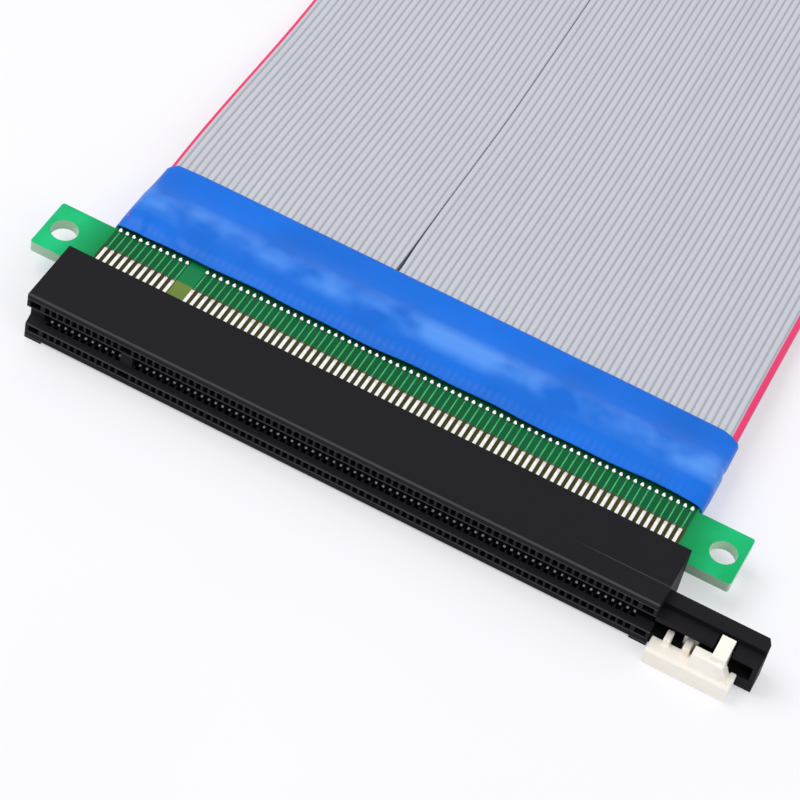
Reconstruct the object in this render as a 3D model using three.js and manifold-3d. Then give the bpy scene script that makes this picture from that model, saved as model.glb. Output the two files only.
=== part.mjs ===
// Ribbon riser cable for a graphics card, in millimetres, +Z up.
// A card-edge socket sits astride the edge of a small board. Four flat grey ribbons, two above and two
// below the board, leave under a blue film sleeve and end in a card-edge plug of the same layout.
// X runs along the slot, the slot's mouth faces -Y and the ribbons leave towards +Y.
// The origin is the middle of the socket end's underside, on the surface that it rests on.

import * as THREE from 'three';
import { mergeGeometries, mergeVertices } from 'three/addons/utils/BufferGeometryUtils.js';
import Module from 'manifold-3d';

const wasm = await Module();
wasm.setup();

// Contact layout, the same in the socket and on the plug
const PITCH = 1.0;
const SHORT_GROUP = 11;
const LONG_GROUP = 71;
const KEY_POSITIONS = 2;

// Socket housing
const HOUSING_DEPTH = 10.2;
const HOUSING_HEIGHT = 7.7;
const END_MARGIN = 2.9;
const FOOT_HEIGHT = 0.4;
const FOOT_LENGTH = 2.4;
const SLOT_WIDTH = 1.9;
const SLOT_DEPTH = 8.5;
const SLOT_END_CLEARANCE = 0.9;
const MOUTH_WIDTH = 3.3;
const MOUTH_DEPTH = 1.2;
const KEY_WIDTH = 1.7;
const KEY_SETBACK = 0.6;

// Contact channels and pockets in the housing's mouth
const CHANNEL_WIDTH = 0.66;
const LIP_THICKNESS = 0.15;
const LIP_DEPTH = 0.8;
const CHANNEL_HEIGHT = 1.1;
const END_POCKET_WIDTH = 1.5;
const END_POCKET_WALL = 0.45;
const KEY_POCKET_WIDTH = 1.6;
const BLIND_POCKET_DEPTH = 3.0;

// Spring contacts
const CONTACT_WIDTH = 0.46;
const CONTACT_THICKNESS = 0.2;
const TAIL_REACH = 4.5;
const CONTACT_BULGE = 0.35;
const BULGE_DEPTH = 3.2;
const TIP_DEPTH = 1.6;
const TIP_CLEARANCE = 0.3;

// Hook extension beyond the slot's far end
const HOOK_LENGTH = 13.9;
const HOOK_SETBACK = 0.4;
const HOOK_DEPTH = 4.2;
const HOOK_HEIGHT = 6.0;
const LEDGE_WIDTH = 2.0;
const LEDGE_DROP = 0.8;
const LEDGE_THICKNESS = 0.8;
const HOOK_FLOOR = 1.9;
const HOOK_BACK_WALL = 1.0;
const HOOK_END_WALL = 0.7;
const HOOK_CORNER = 0.5;
const HOOK_PASSAGE_DEPTH = 2.5;

// Sliding latch
const LATCH_CLEARANCE = 0.3;
const LATCH_GAP = 0.4;
const BAR_LENGTH = 11.3;
const BAR_DEPTH = 2.5;
const BAR_HEIGHT = 2.6;
const BAR_CHAMFER = 0.3;
const ARM_WIDTH = 1.9;
const ARM_END_MARGIN = 1.7;
const ARM_TOP = 6.2;
const ARM_FRONT_SETBACK = 0.7;
const THUMB_WIDTH = 2.3;
const THUMB_TOP = 4.6;
const THUMB_SLOPE = 0.7;
const GUSSET_FLARE = 1.0;
const GUSSET_DEPTH = 1.4;
const TAB_HEIGHT = 0.4;
const TAB_LENGTH = 0.8;
const RUNNER_BASE = 0.6;
const RUNNER_TOP = 3.7;
const POST_WIDTH = 0.9;
const POST_OFFSET = 1.9;
const POST_DEPTH = 0.7;
const RUNNER_NECK = 1.0;
const RUNNER_HEAD = 2.0;
const RUNNER_OFFSET = 4.5;
const RUNNER_NECK_DEPTH = 1.0;
const RUNNER_HEAD_DEPTH = 0.7;

// Socket board
const BOARD_THICKNESS = 1.6;
const BOARD_GAP = 0.3;
const EAR_LENGTH = 5.9;
const EAR_DEPTH = 8.4;
const EAR_HOLE_RADIUS = 1.85;
const EAR_HOLE_INSET = 2.7;
const EAR_CORNER = 0.4;
const BOARD_TONGUE = 6.1;
const TONGUE_MARGIN = 0.9;

// Ribbons
const LEFT_WIRES = 34;
const RIBBON_THICKNESS = 0.8;
const RIBBON_LENGTH = 305;
const RIBBON_SPLIT = 0.2;
const RIBBON_OVERLAP = 4.0;
const LAYER_GAP = 0.1;
const DROP_LENGTH = 46;
const TABLE_GAP = 0.05;
const RIBBON_VEER = 0.028;
const JOIN_LENGTH = 6;

// Film sleeves over the soldered ends
const FILM = 0.2;
const SLEEVE_LENGTH = 14.2;
const SLEEVE_FRONT_OVERLAP = 1.5;
const SLEEVE_SIDE_GAP = 0.8;

// Card-edge plug
const PLUG_DEPTH = 20.0;
const PLUG_MARGIN = 3.4;
const PLUG_FINGER_DEPTH = 8.6;
const PLUG_FINGER_MARGIN = 0.75;
const PLUG_KEY_WIDTH = 1.9;
const PLUG_KEY_DEPTH = 7.6;
const PLUG_BEVEL = 0.45;
const PLUG_BEVEL_LENGTH = 1.5;

// What follows is worked out from the sizes above

const positions = SHORT_GROUP + KEY_POSITIONS + LONG_GROUP;
const gridHalf = ((positions - 1) / 2) * PITCH;
const gridX = (index) => index * PITCH - gridHalf;
const keyX = gridX(SHORT_GROUP + (KEY_POSITIONS - 1) / 2);
const contactIndices = [...Array(positions).keys()].filter(
  (index) => index < SHORT_GROUP || index >= SHORT_GROUP + KEY_POSITIONS,
);

const housingHalf = gridHalf + END_MARGIN;
const housingBottom = FOOT_HEIGHT;
const housingTop = FOOT_HEIGHT + HOUSING_HEIGHT;
const middleZ = (housingBottom + housingTop) / 2;

const boardTop = middleZ + BOARD_THICKNESS / 2;
const boardBottom = middleZ - BOARD_THICKNESS / 2;
const boardFront = HOUSING_DEPTH + BOARD_GAP;
const earBack = boardFront + EAR_DEPTH;
const boardHalf = housingHalf + EAR_LENGTH;
const tongueHalf = gridHalf + TONGUE_MARGIN;
const tongueBack = earBack + BOARD_TONGUE;

const ribbonHalf = (positions * PITCH) / 2;
const splitX = LEFT_WIRES * PITCH - ribbonHalf;
const ribbonStart = tongueBack - RIBBON_OVERLAP;
const sleeveFront = ribbonStart - SLEEVE_FRONT_OVERLAP;
const sleeveBack = sleeveFront + SLEEVE_LENGTH;
const sleeveHalf = ribbonHalf + SLEEVE_SIDE_GAP;

// Small helpers

function solidOf(geometry) {
  const bare = geometry.clone();
  bare.deleteAttribute('normal');
  bare.deleteAttribute('uv');
  const merged = mergeVertices(bare, 1e-5);
  return new wasm.Manifold(new wasm.Mesh({
    numProp: 3,
    vertProperties: merged.attributes.position.array,
    triVerts: Uint32Array.from(merged.index.array),
  }));
}

function geometryOf(solid) {
  const mesh = solid.getMesh();
  const geometry = new THREE.BufferGeometry();
  geometry.setAttribute('position', new THREE.BufferAttribute(mesh.vertProperties, 3));
  geometry.setIndex(new THREE.BufferAttribute(mesh.triVerts, 1));
  geometry.computeVertexNormals();
  return geometry;
}

// A block between two corners
function block([x0, x1], [y0, y1], [z0, z1]) {
  const geometry = new THREE.BoxGeometry(x1 - x0, y1 - y0, z1 - z0);
  return geometry.translate((x0 + x1) / 2, (y0 + y1) / 2, (z0 + z1) / 2);
}

// An outline in the Y-Z plane, carried along X from x0 to x1
const ALONG_X = new THREE.Matrix4().makeBasis(
  new THREE.Vector3(0, 1, 0),
  new THREE.Vector3(0, 0, 1),
  new THREE.Vector3(1, 0, 0),
);

function sectionAlongX(outline, x0, x1) {
  const shape = new THREE.Shape(outline.map(([y, z]) => new THREE.Vector2(y, z)));
  const geometry = new THREE.ExtrudeGeometry(shape, { depth: x1 - x0, bevelEnabled: false });
  return geometry.applyMatrix4(ALONG_X).translate(x0, 0, 0);
}

// An outline in the X-Z plane, carried along Y from y0 to y1
const ALONG_Y = new THREE.Matrix4().makeBasis(
  new THREE.Vector3(1, 0, 0),
  new THREE.Vector3(0, 0, 1),
  new THREE.Vector3(0, -1, 0),
);

function sectionAlongY(outline, y0, y1) {
  const shape = new THREE.Shape(outline.map(([x, z]) => new THREE.Vector2(x, z)));
  const geometry = new THREE.ExtrudeGeometry(shape, { depth: y1 - y0, bevelEnabled: false });
  return geometry.applyMatrix4(ALONG_Y).translate(0, y1, 0);
}

// An outline in the X-Y plane, carried up from z0 to z1
function plate(shape, z0, z1, curveSegments = 10) {
  const geometry = new THREE.ExtrudeGeometry(shape, {
    depth: z1 - z0,
    bevelEnabled: false,
    curveSegments,
  });
  return geometry.translate(0, 0, z0);
}

function solidOfAll(geometries) {
  return solidOf(mergeGeometries(geometries.map((geometry) => {
    const bare = geometry.index ? geometry.toNonIndexed() : geometry;
    bare.deleteAttribute('normal');
    bare.deleteAttribute('uv');
    return bare;
  })));
}

function piece(name, geometry, color, roughness, metalness = 0) {
  const material = new THREE.MeshStandardMaterial({ color, roughness, metalness });
  const mesh = new THREE.Mesh(geometry, material);
  mesh.name = name;
  return mesh;
}

// Heights above and below the middle plane, for the upper row (side 1) and the lower row (side -1)
const offset = (side, height) => middleZ + side * height;

// One spring contact: a flat tail on the board, the root through the housing's rear wall, a spring that
// bulges into the slot, and a tip that turns back behind the lip.
function contactOutline(side) {
  const tailHeight = BOARD_THICKNESS / 2 + CONTACT_THICKNESS / 2;
  const line = [
    [boardFront + TAIL_REACH, tailHeight],
    [SLOT_DEPTH, tailHeight],
    [BULGE_DEPTH, SLOT_WIDTH / 2 - CONTACT_BULGE],
    [TIP_DEPTH, MOUTH_WIDTH / 2 - TIP_CLEARANCE + LIP_THICKNESS / 2],
  ];
  const half = CONTACT_THICKNESS / 2;
  const outer = line.map(([y, height]) => [y, offset(side, height + half)]);
  const inner = line.map(([y, height]) => [y, offset(side, height - half)]).reverse();
  return [...outer, ...inner];
}

// The channel that a contact moves in: open to the slot behind the lip, and a pocket in the mouth face
function channelOutline(side) {
  const near = MOUTH_WIDTH / 2 + LIP_THICKNESS;
  const far = near + CHANNEL_HEIGHT;
  const inSlot = SLOT_WIDTH / 4;
  return [
    [-LIP_DEPTH, near],
    [LIP_DEPTH, near],
    [LIP_DEPTH, inSlot],
    [SLOT_DEPTH, inSlot],
    [SLOT_DEPTH, far],
    [-LIP_DEPTH, far],
  ].map(([y, height]) => [y, offset(side, height)]);
}

// The same outline repeated at every contact, in both rows
function atEveryContact(outlineOf, width) {
  return [1, -1].flatMap((side) => contactIndices.map((index) => {
    const x = gridX(index);
    return sectionAlongX(outlineOf(side), x - width / 2, x + width / 2);
  }));
}

// A blind pocket in the mouth face, in line with the row of channels
function blindPockets(x, width) {
  const near = MOUTH_WIDTH / 2 + LIP_THICKNESS;
  const far = near + CHANNEL_HEIGHT;
  return [1, -1].map((side) => {
    const z = [offset(side, near), offset(side, far)].sort((a, b) => a - b);
    return block([x - width / 2, x + width / 2], [-1, BLIND_POCKET_DEPTH], z);
  });
}

// The hook extension: a U in section whose upper wall steps down to a ledge along the mouth
const hookFront = HOOK_SETBACK;
const hookBack = HOOK_SETBACK + HOOK_DEPTH;
const hookEnd = housingHalf + HOOK_LENGTH;
const hookTop = FOOT_HEIGHT + HOOK_HEIGHT;
const ledgeTop = hookTop - LEDGE_DROP;
const channelTop = ledgeTop - LEDGE_THICKNESS;
const channelFloor = FOOT_HEIGHT + HOOK_FLOOR;
const channelBack = hookBack - HOOK_BACK_WALL;

const latchBack = hookFront - LATCH_GAP;
const latchStart = housingHalf + LATCH_GAP;
const latchEnd = latchStart + BAR_LENGTH;
const armEnd = latchEnd - ARM_END_MARGIN;
const armStart = armEnd - ARM_WIDTH;
const armTip = hookFront + LEDGE_WIDTH - LATCH_CLEARANCE;
const postX = latchStart + POST_OFFSET;
const runnerX = latchStart + RUNNER_OFFSET;
const neckBack = hookFront + RUNNER_NECK_DEPTH;
const headBack = neckBack + RUNNER_HEAD_DEPTH;

function hookExtension() {
  const outline = [
    [hookFront, housingBottom],
    [hookBack, housingBottom],
    [hookBack, hookTop],
    [hookFront + LEDGE_WIDTH, hookTop],
    [hookFront + LEDGE_WIDTH, ledgeTop],
    [hookFront, ledgeTop],
  ];
  const outside = solidOf(sectionAlongX(outline, housingHalf - HOOK_CORNER, hookEnd));
  const channel = solidOf(block(
    [housingHalf, hookEnd - HOOK_END_WALL],
    [hookFront - 1, channelBack],
    [channelFloor, channelTop],
  ));
  const corner = new THREE.Shape([
    new THREE.Vector2(hookEnd - HOOK_CORNER, hookBack + 1),
    new THREE.Vector2(hookEnd - HOOK_CORNER, hookBack),
    new THREE.Vector2(hookEnd, hookBack - 2 * HOOK_CORNER),
    new THREE.Vector2(hookEnd + 1, hookBack - 2 * HOOK_CORNER),
    new THREE.Vector2(hookEnd + 1, hookBack + 1),
  ]);
  const chamfer = solidOf(plate(corner, housingBottom - 1, hookTop + 1));
  return outside.subtract(channel).subtract(chamfer);
}

// Grooves in the extension that the latch's arm, post and headed runner slide in
function latchGrooves() {
  const c = LATCH_CLEARANCE;
  const below = housingBottom - 1;
  const groove = (x, half, back, top) => (
    solidOf(block([x - half - c, x + half + c], [hookFront - 1, back + c], [below, top]))
  );
  const armX = (armStart + armEnd) / 2;
  const arm = groove(armX, ARM_WIDTH / 2, armTip, ledgeTop + 1);
  const post = groove(postX, POST_WIDTH / 2, hookFront + POST_DEPTH, channelTop);
  const neck = groove(runnerX, RUNNER_NECK / 2, headBack, channelTop);
  const head = solidOf(block(
    [runnerX - RUNNER_HEAD / 2 - c, runnerX + RUNNER_HEAD / 2 + c],
    [neckBack - c, headBack + c],
    [below, channelTop],
  ));
  return arm.add(post).add(neck).add(head);
}

function socketHousing() {
  const half = MOUTH_WIDTH / 2;
  const bodyOutline = [
    [0, housingBottom],
    [HOUSING_DEPTH, housingBottom],
    [HOUSING_DEPTH, housingTop],
    [0, housingTop],
  ];
  const funnelOutline = [
    [-MOUTH_DEPTH, offset(1, half)],
    [-MOUTH_DEPTH, offset(-1, half)],
    [0, offset(-1, half)],
    [MOUTH_DEPTH, offset(-1, SLOT_WIDTH / 2)],
    [MOUTH_DEPTH, offset(1, SLOT_WIDTH / 2)],
    [0, offset(1, half)],
  ];
  const slotHalf = gridHalf + SLOT_END_CLEARANCE;
  const slot = block(
    [-slotHalf, slotHalf],
    [0, SLOT_DEPTH],
    [offset(-1, SLOT_WIDTH / 2), offset(1, SLOT_WIDTH / 2)],
  );
  const passage = block(
    [slotHalf - 1, housingHalf + 1],
    [-1, HOOK_PASSAGE_DEPTH],
    [offset(-1, SLOT_WIDTH / 2), channelTop],
  );
  const key = block(
    [keyX - KEY_WIDTH / 2, keyX + KEY_WIDTH / 2],
    [KEY_SETBACK, SLOT_DEPTH],
    [offset(-1, half), offset(1, half)],
  );
  const feet = [-1, 1].map((side) => {
    const x = side * (housingHalf - FOOT_LENGTH / 2);
    const span = [x - FOOT_LENGTH / 2, x + FOOT_LENGTH / 2];
    return block(span, [0, HOUSING_DEPTH], [0, housingBottom + FOOT_HEIGHT]);
  });
  const endPocketX = housingHalf - END_POCKET_WALL - END_POCKET_WIDTH / 2;
  const pockets = [
    ...blindPockets(-endPocketX, END_POCKET_WIDTH),
    ...blindPockets(endPocketX, END_POCKET_WIDTH),
    ...blindPockets(keyX, KEY_POCKET_WIDTH),
  ];
  const body = solidOf(sectionAlongX(bodyOutline, -housingHalf, housingHalf))
    .add(solidOfAll(feet))
    .add(hookExtension());
  const funnel = solidOf(sectionAlongX(funnelOutline, -housingHalf - 1, housingHalf));
  const hollow = body
    .subtract(funnel)
    .subtract(solidOf(slot))
    .subtract(solidOf(passage))
    .add(solidOf(key))
    .subtract(solidOfAll(pockets))
    .subtract(solidOfAll(atEveryContact(channelOutline, CHANNEL_WIDTH)))
    .subtract(latchGrooves());
  const contacts = solidOfAll(atEveryContact(contactOutline, CONTACT_WIDTH));
  return piece('socket_housing', geometryOf(hollow.add(contacts)), 0x222126, 0.55);
}

// The latch: a bar in front of the extension's lower wall, with a thumb block, an arm that crosses the
// slot, a gusset under the arm, and the runners that slide in the lower wall.
function latch() {
  const front = latchBack - BAR_DEPTH;
  const bar = sectionAlongX([
    [front, 0],
    [latchBack, 0],
    [latchBack, BAR_HEIGHT],
    [front + BAR_CHAMFER, BAR_HEIGHT],
    [front, BAR_HEIGHT - BAR_CHAMFER],
  ], latchStart, latchEnd);
  const thumb = sectionAlongX([
    [front + BAR_CHAMFER, BAR_HEIGHT - BAR_CHAMFER],
    [latchBack, BAR_HEIGHT - BAR_CHAMFER],
    [latchBack, THUMB_TOP],
    [front + BAR_CHAMFER + THUMB_SLOPE, THUMB_TOP],
  ], armStart - THUMB_WIDTH, armEnd);
  const armFront = front + ARM_FRONT_SETBACK;
  const arm = sectionAlongX([
    [armFront, BAR_HEIGHT / 2],
    [hookFront, BAR_HEIGHT / 2],
    [hookFront, RUNNER_BASE],
    [armTip, RUNNER_BASE],
    [armTip, ARM_TOP],
    [armFront + THUMB_SLOPE, ARM_TOP - THUMB_SLOPE],
  ], armStart, armEnd);
  const gusset = sectionAlongY([
    [armEnd - ARM_WIDTH / 2, BAR_HEIGHT / 2],
    [armEnd + GUSSET_FLARE, BAR_HEIGHT / 2],
    [armEnd + GUSSET_FLARE, BAR_HEIGHT],
    [armEnd, ARM_TOP - 2 * THUMB_SLOPE],
    [armEnd - ARM_WIDTH / 2, ARM_TOP - 2 * THUMB_SLOPE],
  ], armFront, armFront + GUSSET_DEPTH);
  const tab = block(
    [latchEnd - TAB_LENGTH, latchEnd],
    [front + BAR_DEPTH / 2, latchBack],
    [BAR_HEIGHT / 2, BAR_HEIGHT + TAB_HEIGHT],
  );
  const rail = [RUNNER_BASE, RUNNER_TOP];
  const inBar = latchBack - BAR_DEPTH / 4;
  const post = block(
    [postX - POST_WIDTH / 2, postX + POST_WIDTH / 2],
    [inBar, hookFront + POST_DEPTH],
    rail,
  );
  const neck = block(
    [runnerX - RUNNER_NECK / 2, runnerX + RUNNER_NECK / 2],
    [inBar, headBack],
    rail,
  );
  const head = block(
    [runnerX - RUNNER_HEAD / 2, runnerX + RUNNER_HEAD / 2],
    [neckBack, headBack],
    rail,
  );
  const solid = [thumb, arm, gusset, tab, post, neck, head]
    .reduce((sum, geometry) => sum.add(solidOf(geometry)), solidOf(bar));
  return piece('latch', geometryOf(solid), 0xf6f1e4, 0.45);
}

// The small board that the socket sits astride, with a screw ear at each end and a tongue under the ribbons
function socketBoard() {
  const outline = new THREE.Shape();
  const r = EAR_CORNER;
  outline.moveTo(-boardHalf + r, boardFront);
  outline.lineTo(boardHalf - r, boardFront);
  outline.absarc(boardHalf - r, boardFront + r, r, -Math.PI / 2, 0);
  outline.absarc(boardHalf - r, earBack - r, r, 0, Math.PI / 2);
  outline.lineTo(tongueHalf, earBack);
  outline.lineTo(tongueHalf, tongueBack);
  outline.lineTo(-tongueHalf, tongueBack);
  outline.lineTo(-tongueHalf, earBack);
  outline.absarc(-boardHalf + r, earBack - r, r, Math.PI / 2, Math.PI);
  outline.absarc(-boardHalf + r, boardFront + r, r, Math.PI, 1.5 * Math.PI);
  for (const side of [-1, 1]) {
    const hole = new THREE.Path();
    hole.absarc(side * (boardHalf - EAR_HOLE_INSET), (boardFront + earBack) / 2, EAR_HOLE_RADIUS,
      0, 2 * Math.PI, true);
    outline.holes.push(hole);
  }
  const solid = solidOf(plate(outline, boardBottom, boardTop));
  return piece('socket_board', geometryOf(solid), 0x14af64, 0.4);
}

// The lead's own frame: Y runs along the ribbons from the back of the socket's sleeve, and a distance
// along the ribbons counts from their soldered ends on the socket board.
const leadStart = ribbonStart - sleeveBack;
const inSleeve = sleeveBack - ribbonStart;
const layerStep = RIBBON_THICKNESS + LAYER_GAP;
const onBoard = BOARD_THICKNESS / 2 + LAYER_GAP + RIBBON_THICKNESS / 2;
const tableZ = TABLE_GAP + RIBBON_THICKNESS / 2;
const plugLowerZ = FILM + LAYER_GAP + RIBBON_THICKNESS / 2;
const plugMiddleZ = plugLowerZ + onBoard;
const plugJoin = RIBBON_LENGTH - RIBBON_OVERLAP - JOIN_LENGTH;
const plugSleeveStart = RIBBON_LENGTH - inSleeve;
const plugRise = plugSleeveStart - 2 * JOIN_LENGTH;

// A rise from 0 to 1 between two distances, level at both ends
function ease(distance, from, length) {
  const t = Math.min(Math.max((distance - from) / length, 0), 1);
  return t * t * (3 - 2 * t);
}

// Height of a ribbon's middle at a distance along it, for the upper and the lower layer
function ribbonHeight(side, distance) {
  const layer = side > 0 ? layerStep : 0;
  const soldered = middleZ + side * onBoard;
  const joined = middleZ + side * (layerStep / 2);
  const table = tableZ + layer;
  const plugJoined = plugLowerZ + layer;
  const plugSoldered = plugMiddleZ + side * onBoard;
  return soldered
    + (joined - soldered) * ease(distance, RIBBON_OVERLAP, JOIN_LENGTH)
    + (table - joined) * ease(distance, inSleeve, DROP_LENGTH)
    + (plugJoined - table) * ease(distance, plugRise, 2 * JOIN_LENGTH)
    + (plugSoldered - plugJoined) * ease(distance, plugJoin, JOIN_LENGTH);
}

// How far the ribbons have veered sideways at a distance: straight under both sleeves, at a slant between
function veer(distance) {
  return -RIBBON_VEER * (Math.min(Math.max(distance, inSleeve), plugSleeveStart) - inSleeve);
}

// Distances at which the ribbons' course is drawn: close together where it bends
const spread = (from, to, steps) => (
  [...Array(steps).keys()].map((step) => from + ((to - from) * step) / steps)
);
const socketStations = [
  ...spread(0, RIBBON_OVERLAP, 1),
  ...spread(RIBBON_OVERLAP, RIBBON_OVERLAP + JOIN_LENGTH, 4),
  ...spread(RIBBON_OVERLAP + JOIN_LENGTH, inSleeve, 1),
];
const plugStations = [
  ...spread(plugSleeveStart, plugJoin, 1),
  ...spread(plugJoin, plugJoin + JOIN_LENGTH, 4),
  ...spread(plugJoin + JOIN_LENGTH, RIBBON_LENGTH, 1),
  RIBBON_LENGTH,
];
const stations = [
  ...socketStations,
  ...spread(inSleeve, inSleeve + DROP_LENGTH, 10),
  ...spread(inSleeve + DROP_LENGTH, plugRise, 6),
  ...spread(plugRise, plugSleeveStart, 4),
  ...plugStations,
];

// The outline between two heights along the lead, drawn at the given distances
const band = (distances, lowAt, highAt) => [
  ...distances.map((distance) => [leadStart + distance, lowAt(distance)]),
  ...[...distances].reverse().map((distance) => [leadStart + distance, highAt(distance)]),
];

function ribbon(name, side, x0, x1) {
  const outline = band(
    stations,
    (distance) => ribbonHeight(side, distance) - RIBBON_THICKNESS / 2,
    (distance) => ribbonHeight(side, distance) + RIBBON_THICKNESS / 2,
  );
  const geometry = sectionAlongX(outline, x0, x1);
  const position = geometry.attributes.position;
  for (let vertex = 0; vertex < position.count; vertex += 1) {
    const distance = position.getY(vertex) - leadStart;
    position.setX(vertex, position.getX(vertex) + veer(distance));
  }
  return piece(name, geometry, 0xcdd1da, 0.5);
}

// A film sleeve: a flat tube that follows the ribbons, open at both ends
function sleeve(name, distances) {
  const skin = RIBBON_THICKNESS / 2 + LAYER_GAP;
  const shell = (grow, ends, half) => {
    const first = distances[0] - ends;
    const last = distances[distances.length - 1] + ends;
    return solidOf(sectionAlongX(band(
      [first, ...distances.slice(1, -1), last],
      (distance) => ribbonHeight(-1, distance) - skin - grow,
      (distance) => ribbonHeight(1, distance) + skin + grow,
    ), -half, half));
  };
  const solid = shell(FILM, 0, sleeveHalf).subtract(shell(0, 1, sleeveHalf - FILM));
  return piece(name, geometryOf(solid), 0x1a73e6, 0.35);
}

// The card-edge plug: a board with a bevelled finger tongue and the key notch
function plugBoard() {
  const back = leadStart + RIBBON_LENGTH - RIBBON_OVERLAP;
  const tip = back + PLUG_DEPTH;
  const shoulder = tip - PLUG_FINGER_DEPTH;
  const half = tongueHalf;
  const fingerHalf = gridHalf + PLUG_FINGER_MARGIN;
  const wide = gridHalf + PLUG_MARGIN;
  const outline = new THREE.Shape([
    [-half, back],
    [half, back],
    [half, back + BOARD_TONGUE],
    [wide, back + BOARD_TONGUE],
    [wide, shoulder],
    [fingerHalf, shoulder],
    [fingerHalf, tip],
    [keyX + PLUG_KEY_WIDTH / 2, tip],
    [keyX + PLUG_KEY_WIDTH / 2, tip - PLUG_KEY_DEPTH],
    [keyX - PLUG_KEY_WIDTH / 2, tip - PLUG_KEY_DEPTH],
    [keyX - PLUG_KEY_WIDTH / 2, tip],
    [-fingerHalf, tip],
    [-fingerHalf, shoulder],
    [-wide, shoulder],
    [-wide, back + BOARD_TONGUE],
    [-half, back + BOARD_TONGUE],
  ].map(([x, y]) => new THREE.Vector2(x, y)));
  const low = plugMiddleZ - BOARD_THICKNESS / 2;
  const high = plugMiddleZ + BOARD_THICKNESS / 2;
  const bevelled = sectionAlongX([
    [back - 1, low],
    [tip - PLUG_BEVEL_LENGTH, low],
    [tip, low + PLUG_BEVEL],
    [tip, high - PLUG_BEVEL],
    [tip - PLUG_BEVEL_LENGTH, high],
    [back - 1, high],
  ], -wide - 1, wide + 1);
  const solid = solidOf(plate(outline, low - 1, high + 1)).intersect(solidOf(bevelled));
  return piece('plug_board', geometryOf(solid), 0x14af64, 0.4);
}

const socketEnd = new THREE.Group();
socketEnd.add(socketHousing(), socketBoard(), latch());

const lead = new THREE.Group();
lead.position.set(0, sleeveBack, 0);
for (const [row, side] of [['upper', 1], ['lower', -1]]) {
  lead.add(ribbon(`ribbon_${row}_left`, side, -ribbonHalf, splitX - RIBBON_SPLIT / 2));
  lead.add(ribbon(`ribbon_${row}_right`, side, splitX + RIBBON_SPLIT / 2, ribbonHalf));
}
const plugSleeveStations = [...plugStations.slice(0, -1), RIBBON_LENGTH + SLEEVE_FRONT_OVERLAP];
const plugEnd = new THREE.Group();
plugEnd.add(plugBoard(), sleeve('plug_sleeve', plugSleeveStations));
plugEnd.position.x = veer(RIBBON_LENGTH);
lead.add(plugEnd);

const socketSleeve = sleeve('socket_sleeve', [-SLEEVE_FRONT_OVERLAP, ...socketStations.slice(1), inSleeve]);
socketSleeve.position.set(0, sleeveBack, 0);
socketEnd.add(socketSleeve);

// The origin goes to the middle of the socket end, on the surface under it
const group = new THREE.Group();
const latchFront = latchBack - BAR_DEPTH;
group.position.set((boardHalf - hookEnd) / 2, -(latchFront + sleeveBack) / 2, 0);
group.add(socketEnd, lead);

export default group;
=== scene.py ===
"""Finishes, ribbons, film sleeves, solder work and stage of a ribbon riser lead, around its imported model."""

import math

import bpy
import numpy as np
from bpy.props import FloatProperty, FloatVectorProperty, PointerProperty
from mathutils import Matrix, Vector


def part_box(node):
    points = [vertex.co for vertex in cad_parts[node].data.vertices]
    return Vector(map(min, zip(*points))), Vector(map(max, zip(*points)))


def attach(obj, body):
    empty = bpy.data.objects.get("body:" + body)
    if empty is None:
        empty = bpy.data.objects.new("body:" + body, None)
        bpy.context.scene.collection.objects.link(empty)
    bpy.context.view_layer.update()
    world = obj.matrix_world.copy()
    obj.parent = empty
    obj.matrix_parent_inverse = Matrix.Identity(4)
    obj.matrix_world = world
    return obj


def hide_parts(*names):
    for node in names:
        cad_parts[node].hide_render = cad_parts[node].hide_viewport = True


bl_info = {
    "name": "Ribbon riser lead",
    "version": (1, 0, 0),
    "blender": (4, 5, 0),
    "location": "View3D > Sidebar > Riser",
    "description": "Builds the looks of a ribbon riser lead around its packed model",
    "category": "Object",
}

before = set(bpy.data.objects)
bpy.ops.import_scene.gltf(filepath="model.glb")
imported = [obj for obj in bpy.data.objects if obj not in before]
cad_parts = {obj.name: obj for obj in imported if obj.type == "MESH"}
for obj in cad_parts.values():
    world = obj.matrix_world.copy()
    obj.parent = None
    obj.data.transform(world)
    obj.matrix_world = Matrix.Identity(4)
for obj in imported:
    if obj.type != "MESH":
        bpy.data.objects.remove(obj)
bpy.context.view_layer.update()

MM = 0.001
BODY = "riser"
LATCH_BODY = "latch"

# Contact layout, counted from the slot's left end
SHORT_GROUP = 11
KEY_POSITIONS = 2
LONG_GROUP = 71
POSITIONS = SHORT_GROUP + KEY_POSITIONS + LONG_GROUP
LEFT_WIRES = 34

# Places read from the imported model, in metres
BOARD_LOW, BOARD_HIGH = (np.array(corner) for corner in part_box("socket_board"))
HOUSING_LOW, HOUSING_HIGH = (np.array(corner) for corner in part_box("socket_housing"))
SLEEVE_LOW, SLEEVE_HIGH = (np.array(corner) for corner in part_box("socket_sleeve"))
PLUG_LOW, PLUG_HIGH = (np.array(corner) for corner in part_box("plug_board"))
SLOT_X = (SLEEVE_LOW[0] + SLEEVE_HIGH[0]) / 2
MIDDLE_Z = (BOARD_LOW[2] + BOARD_HIGH[2]) / 2
MOUTH_Y = HOUSING_LOW[1]
TAIL_END_Y = HOUSING_HIGH[1]

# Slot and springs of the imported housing: depths behind the mouth, and heights from the middle plane
HOUSING_DEPTH = 10.2 * MM
SLOT_DEPTH = 8.5 * MM
BULGE_DEPTH = 3.2 * MM
TIP_DEPTH = 1.6 * MM
LIP_BACK = 1.45 * MM
SPRING_ROOT = 0.9 * MM
SPRING_BULGE = 0.6 * MM
TIP_RISE = 0.825 * MM
MOUTH_HALF = 1.65 * MM
POCKET_FAR = 2.95 * MM

# Solder bead at a wire's end
BEAD_WIDTH = 0.64 * MM
BEAD_HEIGHT = 0.42 * MM

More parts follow.
